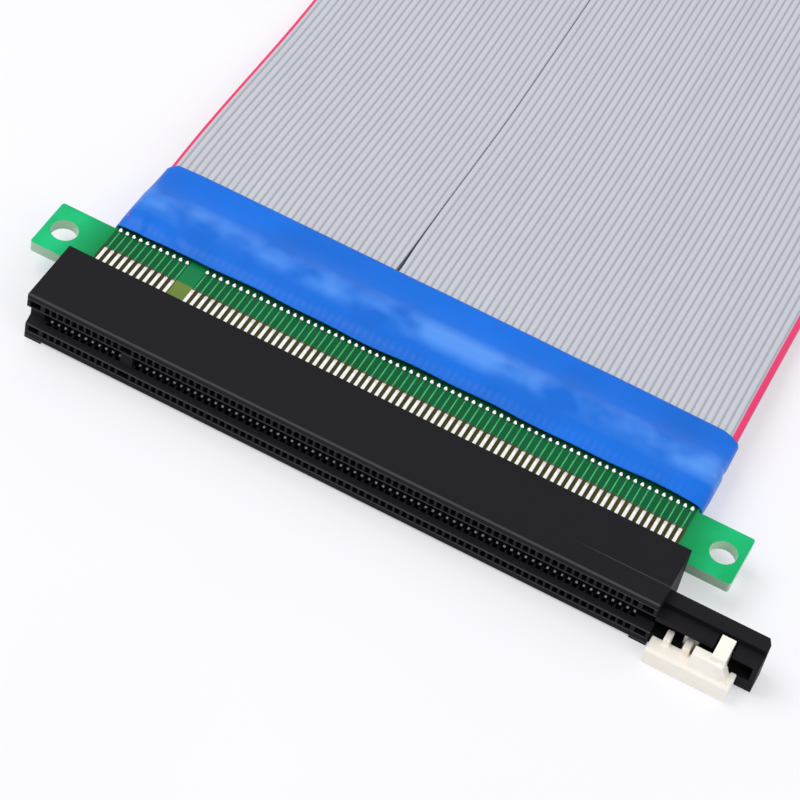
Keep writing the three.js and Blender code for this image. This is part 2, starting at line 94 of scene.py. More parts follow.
# Course of the ribbons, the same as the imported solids'
RIBBON_OVERLAP = 4.0 * MM
JOIN_LENGTH = 6.0 * MM
DROP_LENGTH = 46.0 * MM
SLEEVE_OVERLAP = 1.5 * MM
LAYER_GAP = 0.1 * MM
TABLE_GAP = 0.05 * MM
FILM = 0.2 * MM
RIBBON_VEER = 0.028
RIBBON_SPLIT = 0.08 * MM
SPLIT_OPENING = 0.28 * MM
SPLIT_CLOSING = 5.0 * MM
RIBBON_START_Y = SLEEVE_LOW[1] + SLEEVE_OVERLAP
IN_SLEEVE = SLEEVE_HIGH[1] - RIBBON_START_Y


def linear(red, green, blue):
    """A colour read off a screen, 0 to 255, as the linear values that a shader takes."""
    screen = np.array((red, green, blue)) / 255
    low, high = screen / 12.92, ((screen + 0.055) / 1.055) ** 2.4
    return tuple(float(value) for value in np.where(screen <= 0.04045, low, high))


class RISER_PG_lead(bpy.types.PropertyGroup):
    """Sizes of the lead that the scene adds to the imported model."""

    pitch: FloatProperty(
        name="Contact pitch", description="From one contact or wire to the next",
        default=1.0 * MM, unit="LENGTH", precision=5,
    )
    ribbon_length: FloatProperty(
        name="Ribbon length", description="From one soldered end to the other",
        default=305.0 * MM, unit="LENGTH", precision=5,
    )
    ribbon_thickness: FloatProperty(
        name="Ribbon thickness", description="Over a wire",
        default=0.8 * MM, unit="LENGTH", precision=5,
    )
    groove_depth: FloatProperty(
        name="Groove depth", description="Depth of the groove between two wires",
        default=0.11 * MM, unit="LENGTH", precision=5,
    )
    pad_width: FloatProperty(
        name="Pad width", description="Width of a tinned pad under a contact tail",
        default=0.46 * MM, unit="LENGTH", precision=5,
    )
    trace_width: FloatProperty(
        name="Trace width", description="Width of a copper track on the boards",
        default=0.2 * MM, unit="LENGTH", precision=5,
    )
    bead_length: FloatProperty(
        name="Bead length", description="Length of the solder bead at each wire",
        default=1.0 * MM, unit="LENGTH", precision=5,
    )
    film_thickness: FloatProperty(
        name="Film thickness", description="Thickness of the blue film",
        default=0.1 * MM, unit="LENGTH", precision=5,
    )


class RISER_PG_finish(bpy.types.PropertyGroup):
    """Colours of the lead's finishes."""

    housing: FloatVectorProperty(
        name="Housing", description="Black moulded plastic",
        default=linear(22, 21, 25), subtype="COLOR", min=0, max=1,
    )
    tin: FloatVectorProperty(
        name="Tin", description="Tinned contacts and solder",
        default=linear(244, 243, 238), subtype="COLOR", min=0, max=1,
    )
    gold: FloatVectorProperty(
        name="Gold", description="Gold-plated fingers",
        default=linear(232, 190, 96), subtype="COLOR", min=0, max=1,
    )
    mask: FloatVectorProperty(
        name="Solder mask", description="Green solder mask on the bare ears",
        default=linear(20, 178, 104), subtype="COLOR", min=0, max=1,
    )
    film: FloatVectorProperty(
        name="Film", description="Blue film sleeve",
        default=linear(6, 114, 229), subtype="COLOR", min=0, max=1,
    )
    vinyl: FloatVectorProperty(
        name="Vinyl", description="Grey ribbon vinyl",
        default=linear(203, 206, 212), subtype="COLOR", min=0, max=1,
    )
    edge_wire: FloatVectorProperty(
        name="Edge wire", description="Coloured wire at the lead's edges",
        default=linear(232, 44, 104), subtype="COLOR", min=0, max=1,
    )
    latch: FloatVectorProperty(
        name="Latch", description="Ivory moulded plastic",
        default=linear(255, 251, 240), subtype="COLOR", min=0, max=1,
    )
    floor: FloatVectorProperty(
        name="Floor", description="Pale floor and backdrop",
        default=linear(250, 250, 254), subtype="COLOR", min=0, max=1,
    )


class RISER_PG_stage(bpy.types.PropertyGroup):
    """Camera and lights."""

    camera_place: FloatVectorProperty(
        name="Camera place", description="Where the photograph was taken from",
        default=(71.185 * MM, -245.381 * MM, 292.414 * MM), subtype="TRANSLATION",
    )
    camera_right: FloatVectorProperty(
        name="Camera right", description="Direction of the picture's right side",
        default=(0.88189, 0.44549, 0.15430), subtype="DIRECTION",
    )
    camera_up: FloatVectorProperty(
        name="Camera up", description="Direction of the picture's top",
        default=(-0.43160, 0.63116, 0.64448), subtype="DIRECTION",
    )
    lens: FloatProperty(
        name="Lens", description="Focal length on a 36 mm sensor", default=135.96,
    )
    key_power: FloatProperty(
        name="Key light", description="Power of the big soft light", default=3.9, unit="POWER",
    )
    fill_power: FloatProperty(
        name="Fill light", description="Power of the light on the other side", default=1.1,
        unit="POWER",
    )
    sky: FloatProperty(
        name="Sky", description="Strength of the pale surroundings on matt surfaces", default=0.6,
    )


# Mesh helpers


def put_piece(name, vertices, faces, material, body=BODY, smooth=True):
    """One object at the origin, with its place in its mesh, riding on a body."""
    mesh = bpy.data.meshes.new(name)
    mesh.from_pydata(vertices.reshape(-1, 3).tolist(), [], faces)
    mesh.shade_smooth() if smooth else mesh.shade_flat()
    mesh.materials.append(material)
    piece = bpy.data.objects.new(name, mesh)
    bpy.context.scene.collection.objects.link(piece)
    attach(piece, body)
    return piece


def tube_faces(stations, ring, capped=True):
    """Quads between closed rings of points laid one after another, with a flat face over each end."""
    station, corner = np.meshgrid(np.arange(stations - 1), np.arange(ring), indexing="ij")
    following = (corner + 1) % ring
    first = station * ring
    quads = np.stack((
        first + corner, first + following, first + ring + following, first + ring + corner,
    ), axis=-1).reshape(-1, 4).tolist()
    if capped:
        quads.append(list(range(ring))[::-1])
        quads.append(list(range((stations - 1) * ring, stations * ring)))
    return quads


def repeated(template, faces, places):
    """The same small shape at each place: every corner of the template is added to every place."""
    vertices = template[None, :, :] + places[:, None, :]
    starts = np.arange(len(places)) * len(template)
    copies = [[[start + corner for corner in face] for face in faces] for start in starts.tolist()]
    return vertices.reshape(-1, 3), [face for group in copies for face in group]


def bar(width, length, height, side):
    """A flat strip with a top that is drawn in a little, from 0 to height away from the board."""
    inset = 0.25 * min(width, height)
    half = width / 2
    outline = np.array([(-half, 0), (half, 0), (half, length), (-half, length)])
    top = outline * (1 - 2 * inset / width, 1)
    low = np.column_stack((outline, np.zeros(4)))
    high = np.column_stack((top, np.full(4, side * height)))
    faces = [[3, 2, 1, 0], [4, 5, 6, 7]] + [
        [corner, (corner + 1) % 4, 4 + (corner + 1) % 4, 4 + corner] for corner in range(4)
    ]
    if side < 0:
        faces = [face[::-1] for face in faces]
    return np.vstack((low, high)), faces


def dome(width, length, height, side, around=10, rings=3, square=2.6):
    """The upper half of a rounded cushion: each ring is a superellipse, drawn in as the cosine of its
    level while its height grows as the sine."""
    angle = np.arange(around) * 2 * math.pi / around
    bend = 2 / square
    x = np.sign(np.cos(angle)) * np.abs(np.cos(angle)) ** bend * width / 2
    y = np.sign(np.sin(angle)) * np.abs(np.sin(angle)) ** bend * length / 2
    level = np.linspace(0, math.pi / 2, rings, endpoint=False)
    grid = np.stack((
        np.outer(np.cos(level), x),
        np.outer(np.cos(level), y),
        np.outer(np.sin(level), np.full(around, side * height)),
    ), axis=-1).reshape(-1, 3)
    vertices = np.vstack((grid, (0, 0, side * height)))
    faces = tube_faces(rings, around, capped=False)
    faces.append(list(range(around))[::-1])
    last = (rings - 1) * around
    faces += [[last + corner, last + (corner + 1) % around, rings * around] for corner in range(around)]
    if side < 0:
        faces = [face[::-1] for face in faces]
    return vertices, faces


def put_row(name, template, x, y, z, material):
    """The same small shape at every contact, along one line."""
    places = np.column_stack((x, np.full(len(x), y), np.full(len(x), z)))
    vertices, faces = repeated(*template, places)
    put_piece(name, vertices, faces, material)


def bead(side):
    """The solder bead at the end of a wire."""
    lead = bpy.context.scene.riser_lead
    return dome(BEAD_WIDTH, lead.bead_length, BEAD_HEIGHT, side, around=12, rings=4)


# Places of the contacts and the ribbons' course


def contact_x():
    """The middle of each contact, from the left end, without the two positions at the key."""
    lead = bpy.context.scene.riser_lead
    index = np.arange(POSITIONS)
    index = index[(index < SHORT_GROUP) | (index >= SHORT_GROUP + KEY_POSITIONS)]
    return SLOT_X + (index - (POSITIONS - 1) / 2) * lead.pitch


def ease(distance, start, length):
    """A rise from 0 to 1 over a length, level at both ends: three times the square less twice the cube."""
    t = np.clip((distance - start) / length, 0, 1)
    return t * t * (3 - 2 * t)


def ribbon_height(side, distance):
    """Height of a ribbon's middle at a distance from its soldered end, for the upper and lower layer: each
    change of height is one eased step."""
    lead = bpy.context.scene.riser_lead
    thick = lead.ribbon_thickness
    step = thick + LAYER_GAP
    layer = step if side > 0 else 0.0
    on_board = (BOARD_HIGH[2] - BOARD_LOW[2]) / 2 + LAYER_GAP + thick / 2
    soldered = MIDDLE_Z + side * on_board
    joined = MIDDLE_Z + side * step / 2
    table = TABLE_GAP + thick / 2 + layer
    plug_joined = FILM + LAYER_GAP + thick / 2 + layer
    plug_soldered = (PLUG_LOW[2] + PLUG_HIGH[2]) / 2 + side * on_board
    plug_join = lead.ribbon_length - RIBBON_OVERLAP - JOIN_LENGTH
    plug_rise = lead.ribbon_length - IN_SLEEVE - 2 * JOIN_LENGTH
    return (
        soldered
        + (joined - soldered) * ease(distance, RIBBON_OVERLAP, JOIN_LENGTH)
        + (table - joined) * ease(distance, IN_SLEEVE, DROP_LENGTH)
        + (plug_joined - table) * ease(distance, plug_rise, 2 * JOIN_LENGTH)
        + (plug_soldered - plug_joined) * ease(distance, plug_join, JOIN_LENGTH)
    )


def veer(distance):
    """Sideways shift of the ribbons: nothing under the sleeves, and a plain slant between them."""
    end = bpy.context.scene.riser_lead.ribbon_length - IN_SLEEVE
    return -RIBBON_VEER * (np.clip(distance, IN_SLEEVE, end) - IN_SLEEVE)


def split_gap(distance):
    """Half the gap between the left and the right ribbon: widest where they leave the sleeve, and falling
    off as an exponential."""
    past = np.maximum(distance - IN_SLEEVE, 0)
    return RIBBON_SPLIT / 2 + SPLIT_OPENING * np.exp(-past / SPLIT_CLOSING)


def stations():
    """Distances along a ribbon, close together where it bends."""
    lead = bpy.context.scene.riser_lead
    total = lead.ribbon_length
    rise = total - IN_SLEEVE - 2 * JOIN_LENGTH
    return np.unique(np.concatenate((
        np.linspace(0, RIBBON_OVERLAP, 3),
        np.linspace(RIBBON_OVERLAP, RIBBON_OVERLAP + JOIN_LENGTH, 9),
        np.linspace(IN_SLEEVE, IN_SLEEVE + DROP_LENGTH, 25),
        np.linspace(IN_SLEEVE + DROP_LENGTH, rise, 16),
        np.linspace(rise, rise + 2 * JOIN_LENGTH, 9),
        np.linspace(total - RIBBON_OVERLAP - JOIN_LENGTH, total - RIBBON_OVERLAP, 9),
        [total],
    )).round(7))


# Node helpers


class Nodes:
    """Short calls that add nodes to one tree. A value may be a number, a colour or another output."""

    def __init__(self, tree):
        self.tree = tree

    def feed(self, socket, value):
        if isinstance(value, bpy.types.NodeSocket):
            self.tree.links.new(value, socket)
        elif socket.type == "RGBA" and len(value) == 3:
            socket.default_value = (*value, 1)
        else:
            socket.default_value = value

    def add(self, kind, inputs=None, **settings):
        node = self.tree.nodes.new(kind)
        for name, value in settings.items():
            setattr(node, name, value)
        for name, value in (inputs or {}).items():
            self.feed(node.inputs[name], value)
        return node

    def math(self, operation, *values, clamp=False):
        node = self.add("ShaderNodeMath", operation=operation, use_clamp=clamp)
        for index, value in enumerate(values):
            self.feed(node.inputs[index], value)
        return node.outputs[0]

    def rise(self, value, start, end, low=0.0, high=1.0):
        """A ramp from low to high while value goes from start to end."""
        node = self.add("ShaderNodeMapRange", {
            "Value": value, "From Min": start, "From Max": end, "To Min": low, "To Max": high,
        })
        return node.outputs["Result"]

    def within(self, value, centre, half, soft):
        """1 where value lies within half of centre, and down to 0 over the width soft outside it."""
        away = self.math("ABSOLUTE", self.math("SUBTRACT", value, centre))
        return self.math("DIVIDE", self.math("SUBTRACT", half + soft, away), soft, clamp=True)

    def both(self, *masks):
        product = masks[0]
        for mask in masks[1:]:
            product = self.math("MULTIPLY", product, mask)
        return product

    def either(self, *masks):
        most = masks[0]
        for mask in masks[1:]:
            most = self.math("MAXIMUM", most, mask)
        return most

    def blend(self, factor, first, second):
        """The first colour where factor is 0 and the second where it is 1."""
        node = self.add("ShaderNodeMix", data_type="RGBA")
        for index, value in ((0, factor), (6, first), (7, second)):
            self.feed(node.inputs[index], value)
        return node.outputs[2]

    def place(self):
        """X, Y and Z of the surface in the object's own frame, which is the lead's."""
        spot = self.add("ShaderNodeTexCoord").outputs["Object"]
        return self.add("ShaderNodeSeparateXYZ", {0: spot}).outputs

    def group(self, group, **inputs):
        node = self.add("ShaderNodeGroup", node_tree=group)
        for name, value in inputs.items():
            self.feed(node.inputs[name], value)
        return node.outputs

    def bump(self, height, distance, strength=1.0):
        return self.add("ShaderNodeBump", {
            "Height": height, "Distance": distance, "Strength": strength,
        }).outputs["Normal"]


def new_group(name, inputs, outputs):
    """An empty shader group with float inputs and outputs, and its two end nodes."""
    tree = bpy.data.node_groups.new(name, "ShaderNodeTree")
    for label, default in inputs.items():
        socket = tree.interface.new_socket(name=label, in_out="INPUT", socket_type="NodeSocketFloat")
        socket.default_value = default
    for label in outputs:
        tree.interface.new_socket(name=label, in_out="OUTPUT", socket_type="NodeSocketFloat")
    nodes = Nodes(tree)
    return tree, nodes, nodes.add("NodeGroupInput").outputs, nodes.add("NodeGroupOutput").inputs


def mottle_group():
    """Soft uneven patches in two sizes, from 0 to 1, over the surface."""
    name = "surface mottle"
    if name in bpy.data.node_groups:
        return bpy.data.node_groups[name]
    tree, nodes, given, result = new_group(name, {"Patch": 0.004, "Grain": 0.0003}, ["Patches", "Fine"])
    spot = nodes.add("ShaderNodeTexCoord").outputs["Object"]
    for size, label in (("Patch", "Patches"), ("Grain", "Fine")):
        noise = nodes.add("ShaderNodeTexNoise", {
            "Vector": spot, "Scale": nodes.math("DIVIDE", 1.0, given[size]), "Detail": 3.0,
        })
        nodes.feed(result[label], noise.outputs["Fac"])
    return tree


def dust_group():
    """Sparse specks of dust: small dots at scattered points, most of them left out by a random number."""
    name = "dust specks"
    if name in bpy.data.node_groups:
        return bpy.data.node_groups[name]
    tree, nodes, given, result = new_group(name, {"Spacing": 0.003, "Share": 0.1, "Size": 0.06}, ["Dust"])
    spot = nodes.add("ShaderNodeTexCoord").outputs["Object"]
    cells = nodes.add("ShaderNodeTexVoronoi", {
        "Vector": spot, "Scale": nodes.math("DIVIDE", 1.0, given["Spacing"]),
    })
    chance = nodes.add("ShaderNodeSeparateColor", {"Color": cells.outputs["Color"]}).outputs[0]
    chosen = nodes.math("LESS_THAN", chance, given["Share"])
    near = nodes.math("LESS_THAN", cells.outputs["Distance"], given["Size"])
    nodes.feed(result["Dust"], nodes.both(chosen, near))
    return tree


def new_material(name):
    """A material with its node helper and its Principled shader."""
    material = bpy.data.materials.new(name)
    material.use_nodes = True
    shader = material.node_tree.nodes["Principled BSDF"]
    return material, Nodes(material.node_tree), shader


def coat(nodes, shader, mottle, colour, rough, grain=None, gloss=0.5, over="Patches"):
    """Join a finish to its shader: its colour, the range of its roughness over one of its mottles, the
    depth and strength of its grain, and its gloss."""
    nodes.feed(shader.inputs["Base Color"], colour)
    nodes.feed(shader.inputs["Roughness"], nodes.rise(mottle[over], 0.3, 0.7, *rough))
    if grain:
        nodes.feed(shader.inputs["Normal"], nodes.bump(mottle["Fine"], *grain))
    shader.inputs["Specular IOR Level"].default_value = gloss


def dress(node, material):
    """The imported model's own piece takes a finish, and nothing else of it changes."""
    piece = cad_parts[node]
    if piece.material_slots:
        piece.material_slots[0].material = material
    else:
        piece.data.materials.append(material)


# Materials


def housing_material():
    """Black plastic, with tinned metal where the contacts are: behind the rear wall, and inside the slot
    where the surface follows the springs' own line. In the slot the springs are painted dark grey, a
    painted shade in place of their tin, and the lower tips white, a painted glint. Painted highlights
    run as thin light lines along the top's front edge, the mouth's rims and a mould step on the top."""
    lead, finish = bpy.context.scene.riser_lead, bpy.context.scene.riser_finish
    material, nodes, shader = new_material("black housing and contacts")
    x, y, z = nodes.place()
    depth = nodes.math("SUBTRACT", y, MOUTH_Y)
    height = nodes.math("ABSOLUTE", nodes.math("SUBTRACT", z, MIDDLE_Z))

    step = nodes.math("DIVIDE", nodes.math("SUBTRACT", x, SLOT_X - lead.pitch / 2), lead.pitch)
    off_centre = nodes.math("SUBTRACT", nodes.math("FRACT", nodes.math("ADD", step, 1000.5)), 0.5)
    in_width = nodes.within(off_centre, 0.0, 0.25, 0.01)
    spring = nodes.rise(depth, BULGE_DEPTH, SLOT_DEPTH, SPRING_BULGE, SPRING_ROOT)
    tip = nodes.rise(depth, TIP_DEPTH, BULGE_DEPTH, TIP_RISE, 0.0)
    on_line = nodes.within(height, nodes.math("ADD", spring, tip), 0.14 * MM, 0.01 * MM)
    behind_lip = nodes.math("GREATER_THAN", depth, LIP_BACK)
    in_slot = nodes.math("LESS_THAN", depth, SLOT_DEPTH + 0.1 * MM)
    tail = nodes.math("GREATER_THAN", depth, HOUSING_DEPTH + 0.02 * MM)
    in_row = nodes.within(x, SLOT_X, POSITIONS / 2 * lead.pitch, 0.01 * MM)
    inside = nodes.both(in_width, in_row, on_line, behind_lip, in_slot)
    metal = nodes.either(tail, inside)
    lower = nodes.math("LESS_THAN", z, MIDDLE_Z)
    # Painted glint: a white dot on each lower spring's tip, in place of the light its metal would catch.
    spot = nodes.both(
        nodes.within(off_centre, 0.0, 0.13, 0.04),
        nodes.within(depth, TIP_DEPTH + 0.14 * MM, 0.1 * MM, 0.04 * MM),
    )
    painted_tip_glint = nodes.both(inside, lower, spot)

    mottle = nodes.group(mottle_group(), Patch=6 * MM, Grain=0.12 * MM)
    dust = nodes.group(dust_group(), Spacing=4.5 * MM, Share=0.12, Size=0.022)["Dust"]
    at_face = nodes.within(depth, 0.0, 0.07 * MM, 0.05 * MM)
    top = HOUSING_HIGH[2] - MIDDLE_Z
    # Painted highlights: thin light lines, linear(74, 73, 78), where light catches the top's front edge and
    # the rims of the mouth and its pockets.
    top_edge_highlight = nodes.within(depth, 0.0, 0.22 * MM, 0.14 * MM)
    mouth_rim_highlights = nodes.either(
        nodes.within(height, MOUTH_HALF, 0.1 * MM, 0.05 * MM),
        nodes.within(height, POCKET_FAR, 0.05 * MM, 0.05 * MM),
    )
    edge_highlights = nodes.either(
        nodes.both(top_edge_highlight, nodes.within(height, top, 0.08 * MM, 0.06 * MM)),
        nodes.both(at_face, mouth_rim_highlights),
    )
    # Painted highlight: a faint light line where the top steps slightly along a mould line; the step itself is
    # not in the model.
    step_highlight = nodes.both(
        nodes.within(depth, 3.45 * MM, 0.04 * MM, 0.05 * MM),
        nodes.rise(x, SLOT_X + 31 * MM, SLOT_X + 37 * MM),
        nodes.math("GREATER_THAN", z, HOUSING_HIGH[2] - 0.01 * MM),
    )
    plain = nodes.blend(mottle["Patches"], finish.housing, linear(26, 25, 29))
    edge_highlighted = nodes.blend(nodes.math("MULTIPLY", edge_highlights, 0.8), plain, linear(74, 73, 78))
    step_highlighted = nodes.blend(nodes.math("MULTIPLY", step_highlight, 0.5), edge_highlighted, linear(86, 84, 90))
    dusty = nodes.blend(nodes.math("MULTIPLY", dust, 0.85), step_highlighted, linear(190, 190, 192))
    plated = nodes.blend(metal, dusty, finish.tin)
    # Painted shade: the springs inside the slot are painted dark grey in place of their tin.
    painted_spring_shade = nodes.blend(inside, plated, linear(38, 36, 36))
    nodes.feed(shader.inputs["Base Color"], nodes.blend(painted_tip_glint, painted_spring_shade, linear(255, 255, 252)))
    nodes.feed(shader.inputs["Metallic"], tail)
    rough = nodes.rise(mottle["Fine"], 0.3, 0.7, 0.5, 0.62)
    nodes.feed(shader.inputs["Roughness"], nodes.math(
        "SUBTRACT", rough, nodes.math("MULTIPLY", tail, 0.28),
    ))
    nodes.feed(shader.inputs["Normal"], nodes.bump(mottle["Fine"], 0.012 * MM, 0.6))
    shader.inputs["Specular IOR Level"].default_value = 0.1
    return material


def board_material(name, middle_x, pad_start, pad_end, trace_end, half_width):
    """Green solder mask over glass board: bright on the bare ends, dark between the tracks, olive brown
    where the mask is left out between the pads, and pale glass on the cut edges."""
    finish = bpy.context.scene.riser_finish
    material, nodes, shader = new_material(name)
    x, y, _ = nodes.place()
    mottle = nodes.group(mottle_group(), Patch=9 * MM, Grain=0.25 * MM)
    dust = nodes.group(dust_group(), Spacing=3.2 * MM, Share=0.1, Size=0.05)["Dust"]
    across = nodes.math("SUBTRACT", x, middle_x)
    tracked = nodes.within(across, 0.0, half_width, 0.3 * MM)
    low, high = min(pad_start, pad_end), max(pad_start, pad_end)
    pads = nodes.within(y, (low + high) / 2, (high - low) / 2, 0.12 * MM)
    near, far = min(pad_end, trace_end), max(pad_end, trace_end)
    traces = nodes.within(y, (near + far) / 2, (far - near) / 2 + 2 * MM, 0.3 * MM)
    key_x = (SHORT_GROUP + (KEY_POSITIONS - 1) / 2 - (POSITIONS - 1) / 2) * MM
    at_key = nodes.within(across, key_x, 1.15 * MM, 0.12 * MM)
    face = nodes.math("ABSOLUTE", nodes.add("ShaderNodeSeparateXYZ", {
        0: nodes.add("ShaderNodeNewGeometry").outputs["Normal"],
    }).outputs[2])
    side = nodes.math("LESS_THAN", face, 0.5)

    bright = nodes.blend(nodes.rise(mottle["Patches"], 0.35, 0.65), finish.mask, linear(34, 204, 132))
    shade = nodes.rise(nodes.math("ABSOLUTE", across), half_width, half_width + 5 * MM)
    ears = nodes.blend(shade, linear(14, 138, 74), bright)
    dark = nodes.blend(mottle["Patches"], linear(4, 84, 46), linear(8, 100, 60))
    tracked_green = nodes.blend(nodes.both(tracked, traces), ears, dark)
    key_green = nodes.blend(nodes.both(at_key, traces), tracked_green, linear(22, 128, 74))
    bare = nodes.blend(mottle["Patches"], linear(50, 47, 16), linear(76, 72, 27))
    key_bare = nodes.blend(at_key, bare, linear(112, 136, 62))
    stripped = nodes.blend(nodes.both(tracked, pads), key_green, key_bare)
    dusty = nodes.blend(nodes.math("MULTIPLY", dust, 0.5), stripped, linear(176, 206, 180))
    edge = nodes.blend(mottle["Fine"], linear(168, 212, 176), linear(206, 232, 206))
    coat(nodes, shader, mottle, nodes.blend(side, dusty, edge), (0.2, 0.34), (0.008 * MM, 0.5), 0.12)
    return material


def metal_material(name, colour, rough, dull_from=None):
    """Plated metal with soft uneven polish, and duller past a place along the lead where one is given."""
    material, nodes, shader = new_material(name)
    mottle = nodes.group(mottle_group(), Patch=0.7 * MM, Grain=0.09 * MM)
    darker = tuple(0.82 * value for value in colour)
    polished = nodes.blend(mottle["Patches"], darker, colour)
    if dull_from is not None:
        _, y, _ = nodes.place()
        past = nodes.rise(y, dull_from, dull_from + 0.25 * MM, 0.0, 0.8)
        polished = nodes.blend(past, polished, linear(138, 128, 104))
    coat(nodes, shader, mottle, polished, (rough, rough + 0.15), (0.01 * MM, 0.5))
    shader.inputs["Metallic"].default_value = 1.0
    return material


def trace_material():
    """Copper under green mask, lighter than the board beside it."""
    material, nodes, shader = new_material("masked tracks")
    mottle = nodes.group(mottle_group(), Patch=1.5 * MM, Grain=0.1 * MM)
    green = nodes.blend(mottle["Patches"], linear(48, 168, 88), linear(84, 206, 120))
    coat(nodes, shader, mottle, green, (0.2, 0.32), gloss=0.15, over="Fine")
    return material


def vinyl_material(name, wires, coloured_wire, stripe):
    """Ribbed vinyl on the ribbon's own wire map: painted shade in the grooves and on one side of each wire,
    faint streaks along the wires and one coloured outer wire."""
    finish = bpy.context.scene.riser_finish
    material, nodes, shader = new_material(name)
    wire_map = nodes.add("ShaderNodeUVMap", uv_map="wires").outputs["UV"]
    across, along, _ = nodes.add("ShaderNodeSeparateXYZ", {0: wire_map}).outputs
    count = nodes.math("MULTIPLY", across, float(wires))
    in_wire = nodes.math("FRACT", count)
    from_groove = nodes.math("MINIMUM", in_wire, nodes.math("SUBTRACT", 1.0, in_wire))
    # Painted shade: darker in the grooves between the wires.
    groove_shade = nodes.rise(from_groove, 0.04, 0.26, 1.0, 0.0)
    # Painted shade: each wire grows darker towards one side, as a round wire lit from the other.
    shade = nodes.rise(in_wire, 0.1, 0.95, 0.0, 1.0)

    number = nodes.math("FLOOR", count)
    streak_spot = nodes.add("ShaderNodeCombineXYZ", {
        0: nodes.math("MULTIPLY", number, 7.3), 1: nodes.math("MULTIPLY", along, 14.0), 2: 0.0,
    }).outputs[0]
    streak = nodes.add("ShaderNodeTexNoise", {"Vector": streak_spot, "Scale": 1.0, "Detail": 2.0})
    mottle = nodes.group(mottle_group(), Patch=18 * MM, Grain=0.2 * MM)
    dust = nodes.group(dust_group(), Spacing=6 * MM, Share=0.12, Size=0.03)["Dust"]

    cool = nodes.blend(mottle["Patches"], linear(197, 200, 207), finish.vinyl)
    streaked = nodes.blend(
        nodes.rise(streak.outputs["Fac"], 0.35, 0.7, 0.0, 0.4), cool, linear(212, 214, 219),
    )
    rounded = nodes.blend(nodes.math("MULTIPLY", shade, 0.12), streaked, linear(176, 179, 187))
    groove_shaded = nodes.blend(nodes.math("MULTIPLY", groove_shade, 0.6), rounded, linear(140, 143, 152))
    outer = nodes.within(across, coloured_wire, stripe / wires, 0.06 / wires)
    faded = nodes.math("MULTIPLY", streak.outputs["Fac"], 0.5)
    pink = nodes.blend(faded, finish.edge_wire, linear(244, 84, 130))
    painted = nodes.blend(outer, groove_shaded, pink)
    dusty = nodes.blend(nodes.math("MULTIPLY", dust, 0.35), painted, linear(120, 120, 126))
    coat(nodes, shader, mottle, dusty, (0.42, 0.52), (0.01 * MM, 0.4), 0.25)
    return material


def film_material():
    """Glossy blue film: deep colour, cloudy patches, a painted highlight band of light blue patches across it,
    and a few light specks.
    """
    finish = bpy.context.scene.riser_finish
    material, nodes, shader = new_material("blue film")
    mottle = nodes.group(mottle_group(), Patch=11 * MM, Grain=0.5 * MM)
    dust = nodes.group(dust_group(), Spacing=5 * MM, Share=0.08, Size=0.03)["Dust"]
    deep = tuple(0.8 * value for value in finish.film)
    cloudy = nodes.blend(nodes.rise(mottle["Patches"], 0.3, 0.7), deep, finish.film)
    _, y, _ = nodes.place()
    # Painted highlight: a band of light blue patches across the film, standing in for the reflection of the
    # light.
    highlight_band = nodes.within(y, MOUTH_Y + 25.6 * MM, 0.9 * MM, 2.2 * MM)
    highlight_patches = nodes.both(highlight_band, nodes.rise(mottle["Patches"], 0.44, 0.62))
    cloudy = nodes.blend(nodes.math("MULTIPLY", highlight_patches, 0.55), cloudy, linear(112, 176, 255))
    dusty = nodes.blend(nodes.math("MULTIPLY", dust, 0.6), cloudy, linear(150, 190, 240))
    coat(nodes, shader, mottle, dusty, (0.3, 0.4), (0.02 * MM, 0.5), 0.22)
    return material


def latch_material():
    """Ivory plastic with faint warm patches and a fine moulded grain."""
    finish = bpy.context.scene.riser_finish
    material, nodes, shader = new_material("ivory latch")
    mottle = nodes.group(mottle_group(), Patch=5 * MM, Grain=0.15 * MM)
    dust = nodes.group(dust_group(), Spacing=2.6 * MM, Share=0.06, Size=0.03)["Dust"]
    warm = nodes.blend(nodes.rise(mottle["Patches"], 0.35, 0.7), finish.latch, linear(252, 244, 230))
    dusty = nodes.blend(nodes.math("MULTIPLY", dust, 0.5), warm, linear(170, 160, 146))
    coat(nodes, shader, mottle, dusty, (0.36, 0.46), (0.01 * MM, 0.4), over="Fine")
    return material


# Operators


